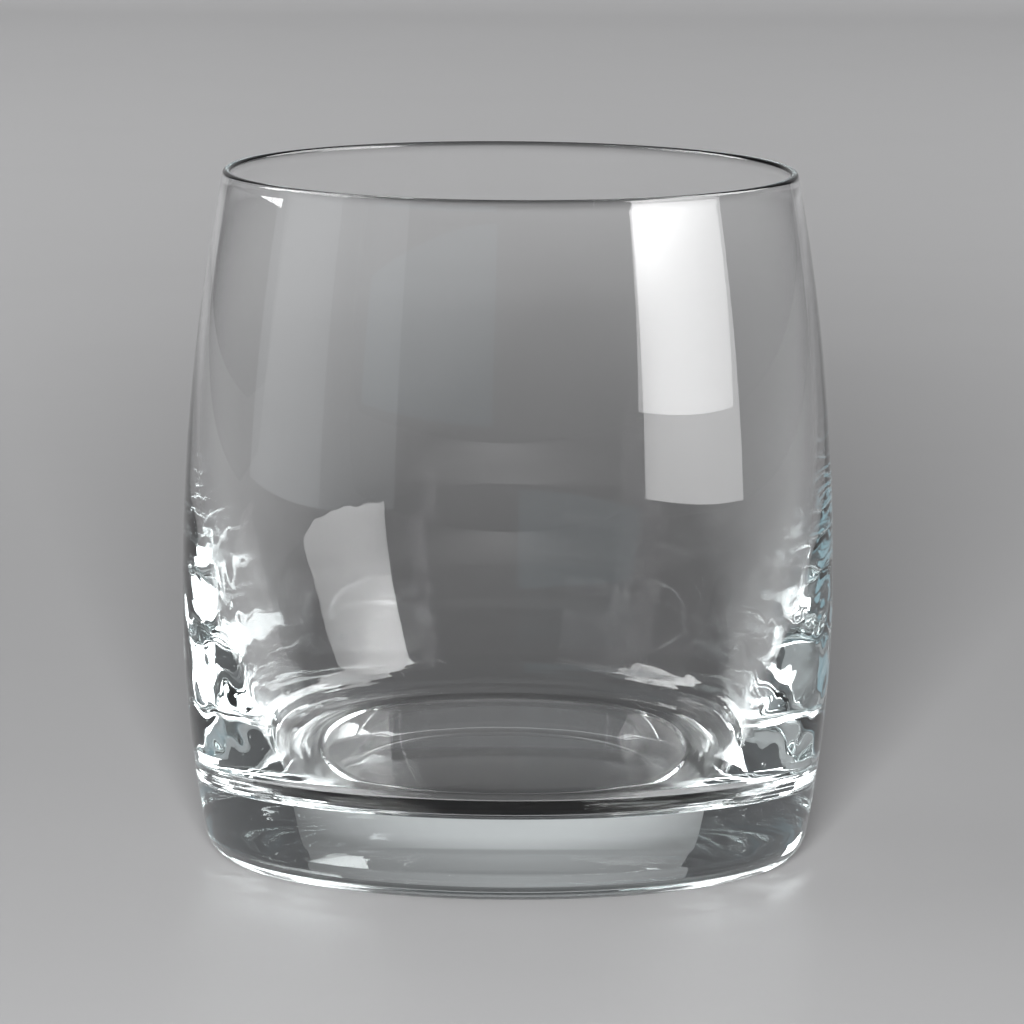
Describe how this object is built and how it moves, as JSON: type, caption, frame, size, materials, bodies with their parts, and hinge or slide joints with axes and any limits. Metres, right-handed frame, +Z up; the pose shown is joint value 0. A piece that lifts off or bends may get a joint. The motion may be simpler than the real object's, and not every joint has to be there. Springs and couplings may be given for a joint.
{
  "type": "whiskey tumbler",
  "caption": "Clear barrel-sided whiskey tumbler with a thin rounded rim, a wall that thickens downward and a heavy glass base on a flat resting ring.",
  "frame": {"origin": "middle of the foot, in the plane that the glass stands on", "axes": "+Z up along the axis of the glass, towards the rim; X and Y level, with no front or back"},
  "size_m": [0.0846, 0.0846, 0.09],
  "materials": {
    "clear_glass": "fire-polished, clear"
  },
  "bodies": {
    "root": {"glass_body": "clear_glass"}
  },
  "joints": []
}
